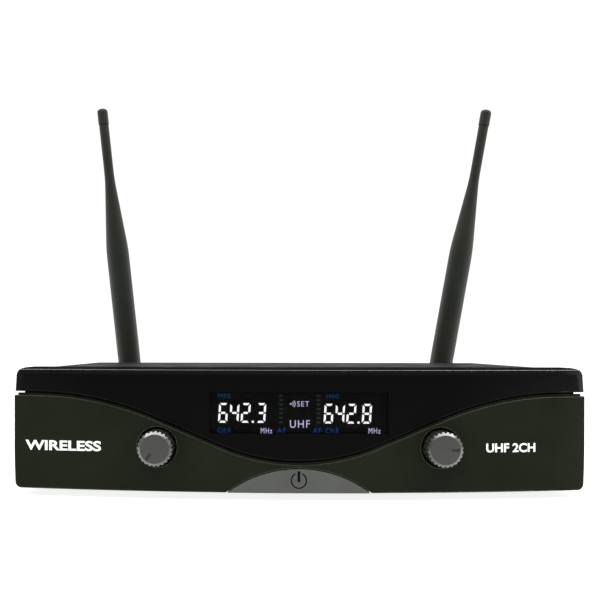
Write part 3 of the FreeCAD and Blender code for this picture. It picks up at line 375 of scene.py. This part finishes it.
def rounded(node, material, width):
    """A copy of a CAD node with small round edges, which stands for it."""
    mesh, build = welded_copy(node)
    bmesh.ops.dissolve_limit(build, angle_limit=FLAT, verts=build.verts, edges=build.edges)
    piece = stand_in(node, mesh, build, [material])
    edge = piece.modifiers.new("edges", "BEVEL")
    edge.width = width * MM
    edge.segments = 3
    edge.limit_method = "ANGLE"
    edge.angle_limit = SHARP
    edge.harden_normals = True


def back_printed_lens():
    """The lens, clear over the display window and printed black behind its border."""
    lap = Vector((PRINT_LAP, 0, PRINT_LAP))
    low, high = DISPLAY_LOW + lap, DISPLAY_HIGH - lap
    mesh, build = welded_copy("display_lens")
    for normal in (Vector((1, 0, 0)), Vector((0, 0, 1))):
        for corner in (low, high):
            everything = build.verts[:] + build.edges[:] + build.faces[:]
            place = normal * normal.dot(corner) * MM
            bmesh.ops.bisect_plane(build, geom=everything, plane_co=place, plane_no=normal)
    for face in build.faces:
        at = face.calc_center_median() / MM
        clear = low.x < at.x < high.x and low.z < at.z < high.z
        face.material_index = 0 if clear else 1
    stand_in("display_lens", mesh, build, [lens_smoke, lens_black])


def dull_fascia_top():
    """The fascia's gloss stops at its top, which is satin, and at its underside, which is bare."""
    fascia = nodes["fascia_bezel"].data
    fascia.materials.append(fascia_satin)
    fascia.materials.append(frame_black)
    for polygon in fascia.polygons:
        if polygon.normal.z > SATIN_FROM:
            polygon.material_index = 1
        elif polygon.normal.z < BARE_FROM:
            polygon.material_index = 2


for material, names, width in LOOKS:
    for name in names.split():
        if width is None:
            nodes[name].data.materials.clear()
            nodes[name].data.materials.append(material)
        else:
            rounded(name, material, width)
back_printed_lens()
dull_fascia_top()

# ---------------------------------------------------------------- marks

def plates(name, outlines, front, thickness, material, body="case"):
    """Thin closed plates from outlines in XZ; front gives Y of their front face at each x."""
    points, faces = [], []
    for outline in outlines:
        first, count = len(points), len(outline)
        for lift in (0, thickness):
            points += [(x * MM, (front(x) + lift) * MM, z * MM) for x, z in outline]
        faces.append([first + i for i in range(count)])
        faces.append([first + count + i for i in reversed(range(count))])
        for i in range(count):
            j = (i + 1) % count
            faces.append([first + i, first + count + i, first + count + j, first + j])
    mesh = bpy.data.meshes.new(name)
    mesh.from_pydata(points, [], faces)
    build = bmesh.new()
    build.from_mesh(mesh)
    bmesh.ops.recalc_face_normals(build, faces=build.faces)
    build.to_mesh(mesh)
    build.free()
    return show(name, mesh, material, body)


def show(name, mesh, material, body):
    """A mesh as a piece with one material, riding on a body."""
    mesh.materials.clear()
    mesh.materials.append(material)
    piece = bpy.data.objects.new(name, mesh)
    bpy.context.scene.collection.objects.link(piece)
    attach(piece, body)
    return piece


def lettering(name, text, x, z, front, material, weight=0.0, spacing=1.0):
    """A word that fills the box from x[0], z[0] to x[1], z[1], as thin raised ink."""
    curve = bpy.data.curves.new(name, "FONT")
    curve.body = text
    curve.offset = weight
    curve.space_character = spacing
    curve.extrude = LETTER_DEPTH
    curve.resolution_u = LETTER_STEPS
    flat = bpy.data.objects.new(name + "_curve", curve)
    bpy.context.scene.collection.objects.link(flat)
    mesh = bpy.data.meshes.new_from_object(flat.evaluated_get(bpy.context.evaluated_depsgraph_get()))
    bpy.data.objects.remove(flat)
    low = [min(v.co[i] for v in mesh.vertices) for i in (0, 1)]
    high = [max(v.co[i] for v in mesh.vertices) for i in (0, 1)]
    for v in mesh.vertices:
        across = x[0] + (v.co.x - low[0]) / (high[0] - low[0]) * (x[1] - x[0])
        up = z[0] + (v.co.y - low[1]) / (high[1] - low[1]) * (z[1] - z[0])
        lift = 0 if v.co.z > 0 else PRINT
        v.co = (across * MM, (front(across) + lift) * MM, up * MM)
    build = bmesh.new()
    build.from_mesh(mesh)
    bmesh.ops.remove_doubles(build, verts=build.verts, dist=LETTER_WELD)
    bmesh.ops.recalc_face_normals(build, faces=build.faces)
    build.to_mesh(mesh)
    build.free()
    return show(name, mesh, material, "case")


def segments():
    """The seven segments of a digit by letter, each an outline in a digit-sized box."""
    w, h, t, g = DIGIT_WIDTH, DIGIT_HEIGHT, DIGIT_STROKE, DIGIT_GAP
    half = h / 2
    top = [(2 * g, h), (w - 2 * g, h), (w - t - g, h - t), (t + g, h - t)]
    upper_left = [
        (0, h - 2 * g), (t, h - t - 2 * g), (t, half + t / 2 + g), (t / 2, half + g), (0, half + t / 2),
    ]
    middle = [
        (t / 2 + 2 * g, half), (t + g, half + t / 2), (w - t - g, half + t / 2),
        (w - t / 2 - 2 * g, half), (w - t - g, half - t / 2), (t + g, half - t / 2),
    ]

    def turned(outline, flip_x, flip_z):
        return [(w - x if flip_x else x, h - z if flip_z else z) for x, z in outline]

    return {
        "a": top, "g": middle, "d": turned(top, False, True),
        "f": upper_left, "b": turned(upper_left, True, False),
        "e": turned(upper_left, False, True), "c": turned(upper_left, True, True),
    }


def rectangle(x, z):
    """The outline of a box from x[0], z[0] to x[1], z[1]."""
    return [(x[0], z[0]), (x[1], z[0]), (x[1], z[1]), (x[0], z[1])]


def arc(x, z, radius, start, end, steps=RING_STEPS):
    """Points along an arc, with angles in degrees from +X."""
    turns = [math.radians(start + (end - start) * i / steps) for i in range(steps + 1)]
    return [(x + radius * math.cos(turn), z + radius * math.sin(turn)) for turn in turns]


def ring_sector(x, z, radius, width, start, end, steps=RING_STEPS):
    """The outline of a piece of a ring."""
    outer = arc(x, z, radius + width / 2, start, end, steps)
    inner = arc(x, z, radius - width / 2, start, end, steps)
    return outer + inner[::-1]


LIT = {"6": "acdefg", "4": "bcfg", "2": "abdeg", "3": "abcdg", "8": "abcdefg"}


def digit(figure, x, z):
    """Outlines of a digit's lit segments, leaning to the right."""
    shapes = segments()
    return [[(x + a + DIGIT_SLANT * b, z + b) for a, b in shapes[letter]] for letter in LIT[figure]]


def reading(whole, tenth, x, z):
    """Outlines of a reading with one decimal, its first digit's lower left corner at x, z."""
    shapes = []
    for i, figure in enumerate(whole):
        shapes += digit(figure, x + i * DIGIT_PITCH, z)
    tenth_x = x + (len(whole) - 1) * DIGIT_PITCH + DIGIT_POINT_PITCH
    point_x = tenth_x - (DIGIT_POINT_PITCH - DIGIT_WIDTH + POINT_SIZE) / 2
    shapes.append(rectangle((point_x, point_x + POINT_SIZE), (z, z + POINT_SIZE)))
    return shapes + digit(tenth, tenth_x, z)


def display_front(x):
    return DISPLAY_LOW.y - PRINT


def panel_front(x):
    return bow_y(x, PRINT / 2)


def symbol_front(x):
    """The engraving's floor lies in the panel's bowed surface, and the paint fills it from there."""
    return bow_y(x) - PAINT


def readings():
    """The two lit frequencies."""
    for letter, tenth, corner in (("a", "3", READING_A), ("b", "8", READING_B)):
        shapes = reading("642", tenth, *corner)
        plates("digits_" + letter, shapes, display_front, PRINT, digit_white)


# The words beside the readings, each with the span it fills in X and in Z
MARKS = (
    ("freq_a", "FREQ", (-31.8, -27.0), (40.0, 41.75), legend_blue),
    ("freq_b", "FREQ", (11.0, 15.8), (39.9, 41.55), legend_blue),
    ("channel_a", "CH:A", (-31.9, -26.7), (26.35, 28.5), legend_blue),
    ("channel_b", "CH:B", (10.8, 15.7), (26.35, 28.4), legend_blue),
    ("mhz_a", "MHz", (-14.9, -10.4), (26.1, 28.3), unit_white),
    ("mhz_b", "MHz", (27.5, 32.2), (26.25, 28.4), unit_white),
    ("level_word_a", "AF", (-8.4, -5.0), (26.4, 28.35), level_blue),
    ("level_word_b", "AF", (5.6, 8.9), (26.4, 28.35), level_blue),
    ("set_word", "SET", (-0.6, 4.15), (36.8, 38.9), unit_white),
    ("band_word", "UHF", (-3.4, 4.4), (28.4, 31.4), unit_white),
)
LEGENDS = (
    ("legend_left", "WIRELESS", (-110.2, -78.6), (18.5, 22.6)),
    ("legend_right", "UHF 2CH", (74.1, 94.2), (18.7, 22.3)),
)
LEVELS = (("levels_a", (-7.7, -6.2)), ("levels_b", (7.1, 8.6)))


def display_words():
    for name, text, x, z, material in MARKS:
        lettering(name, text, x, z, display_front, material, spacing=MARK_SPACING)


def wave_sign():
    """Two waves spreading from a dot."""
    shapes = [ring_sector(*WAVES_AT, radius, WAVE_LINE, -WAVE_TURN, WAVE_TURN) for radius in WAVE_RADII]
    shapes.append(ring_sector(*WAVES_AT, *WAVE_DOT))
    plates("set_waves", shapes, display_front, PRINT, unit_white)


def level_meters():
    """A column of dim bars beside each reading."""
    bottoms = [LEVEL_BOTTOM + i * LEVEL_PITCH for i in range(LEVEL_STEPS)]
    for name, x in LEVELS:
        bars = [rectangle(x, (bottom, bottom + LEVEL_HEIGHT)) for bottom in bottoms]
        plates(name, bars, display_front, PRINT, level_dim)


def panel_words():
    for name, text, x, z in LEGENDS:
        lettering(name, text, x, z, panel_front, legend_white, weight=LEGEND_WEIGHT)


def pointer(letter, turn):
    """Painted shade in a knob's pointer slot: a darker grey bar with a round inner end, turned about the
    knob's axis.
    """
    low, high = box_mm("knob_" + letter)
    middle = (low + high) / 2
    inner, outer = POINTER_REACH
    outline = arc(0, inner + POINTER_HALF, POINTER_HALF, 180, 360)
    outline += [(POINTER_HALF, outer), (-POINTER_HALF, outer)]
    spin = Matrix.Rotation(math.radians(-turn), 2)
    outline = [tuple(spin @ Vector(point) + middle.xz) for point in outline]

    def shade_front(x):
        return low.y + POINTER_DEPTH

    thickness = POINTER_FLOOR - POINTER_DEPTH - POINTER_GAP
    name, body = "pointer_" + letter, "volume_" + letter
    plates(name, [outline], shade_front, thickness, pointer_painted_shade, body)


def power_symbol():
    """Black paint in the button's engraving: an open ring and a bar through its gap."""
    gap = math.degrees(math.asin(SYMBOL_OPENING / SYMBOL_RADIUS))
    line = SYMBOL_LINE - 2 * SYMBOL_MARGIN
    half_bar = SYMBOL_LINE - SYMBOL_MARGIN
    ring = ring_sector(0, SYMBOL_Z, SYMBOL_RADIUS, line, 90 + gap, 450 - gap, SYMBOL_STEPS)
    bar = rectangle((-half_bar, half_bar), (SYMBOL_Z - half_bar, SYMBOL_BAR_TOP))
    plates("power_symbol_paint", [ring, bar], symbol_front, PAINT, symbol_black, "button")


readings()
display_words()
wave_sign()
level_meters()
panel_words()
for letter, turn in KNOB_TURNS:
    pointer(letter, turn)
power_symbol()

# ---------------------------------------------------------------- stage

# Camera at the photograph's viewpoint, looking level, with the frame shifted sideways and up
CAMERA_AT = (-18.06, -476.48, 59.93)
CAMERA_YAW = math.radians(1.391)
CAMERA_ROLL = math.radians(0.08)
CAMERA_LENS = 58.38
CAMERA_SHIFT = (0.1179, 0.0796)

FLOOR_SIZE = 12
FLOOR_GLOW = 0.85
FLOOR_PATCHES = 3
SKY_STEP = (-0.5, 0.5)  # from this Y of the view's direction to that one, the sky brightens
SKY_STRENGTH = (0.45, 1.05)


def pale_floor():
    """A plain floor with its own glow, so that it stays pale from every side."""
    material, shader = new_material("floor_white", (0.5, 0.5, 0.5), 0.9, specular=0.0)
    shader.inputs["Emission Color"].default_value = (1, 1, 1, 1)
    shader.inputs["Emission Strength"].default_value = FLOOR_GLOW
    spread(material, noise(material, FLOOR_PATCHES), 0.85, 0.95, shader.inputs["Roughness"])
    bpy.ops.mesh.primitive_plane_add(size=FLOOR_SIZE)
    floor = bpy.context.object
    floor.name = "floor"
    floor.data.materials.append(material)


def studio_sky():
    """A white surround, brighter behind the object than behind the camera."""
    world = bpy.data.worlds.new("studio")
    bpy.context.scene.world = world
    world.use_nodes = True
    tree = world.node_tree
    background = tree.nodes["Background"]
    background.inputs["Color"].default_value = (1, 1, 1, 1)
    place = tree.nodes.new("ShaderNodeTexCoord")
    split = tree.nodes.new("ShaderNodeSeparateXYZ")
    tree.links.new(place.outputs["Generated"], split.inputs["Vector"])
    strength = background.inputs["Strength"]
    map_range(tree, split.outputs["Y"], SKY_STEP, SKY_STRENGTH, strength, "SMOOTHSTEP")


def softbox(name, place, aim, size, power):
    """A soft rectangular light at place, turned towards aim."""
    data = bpy.data.lights.new(name, "AREA")
    data.shape = "RECTANGLE"
    data.size, data.size_y = size
    data.energy = power
    lamp = bpy.data.objects.new(name, data)
    bpy.context.scene.collection.objects.link(lamp)
    lamp.location = place
    lamp.rotation_mode = "QUATERNION"
    lamp.rotation_quaternion = (Vector(aim) - Vector(place)).to_track_quat("-Z", "Y")


def photo_camera():
    """A camera that stands and points as the photographer's did."""
    data = bpy.data.cameras.new("camera")
    data.sensor_width = 36
    data.lens = CAMERA_LENS
    data.shift_x, data.shift_y = CAMERA_SHIFT
    data.clip_start = 0.01
    data.clip_end = 50
    camera = bpy.data.objects.new("camera", data)
    bpy.context.scene.collection.objects.link(camera)
    camera.location = Vector(CAMERA_AT) * MM
    forward = Vector((-math.sin(CAMERA_YAW), math.cos(CAMERA_YAW), 0))
    level = Vector((math.cos(CAMERA_YAW), math.sin(CAMERA_YAW), 0))
    right = level * math.cos(CAMERA_ROLL) + Vector((0, 0, 1)) * math.sin(CAMERA_ROLL)
    turn = Matrix((right, right.cross(forward), -forward)).transposed()
    camera.rotation_mode = "QUATERNION"
    camera.rotation_quaternion = turn.to_quaternion()
    bpy.context.scene.camera = camera


pale_floor()
studio_sky()
softbox("top_light", (0, -0.48, 1.1), (0, -0.1, 0), (2.4, 0.32), 24)
softbox("side_light", (1.2, -0.6, 0.5), (0, 0, 0), (0.5, 0.5), 1.5)
photo_camera()
bpy.context.scene.view_settings.view_transform = "Standard"
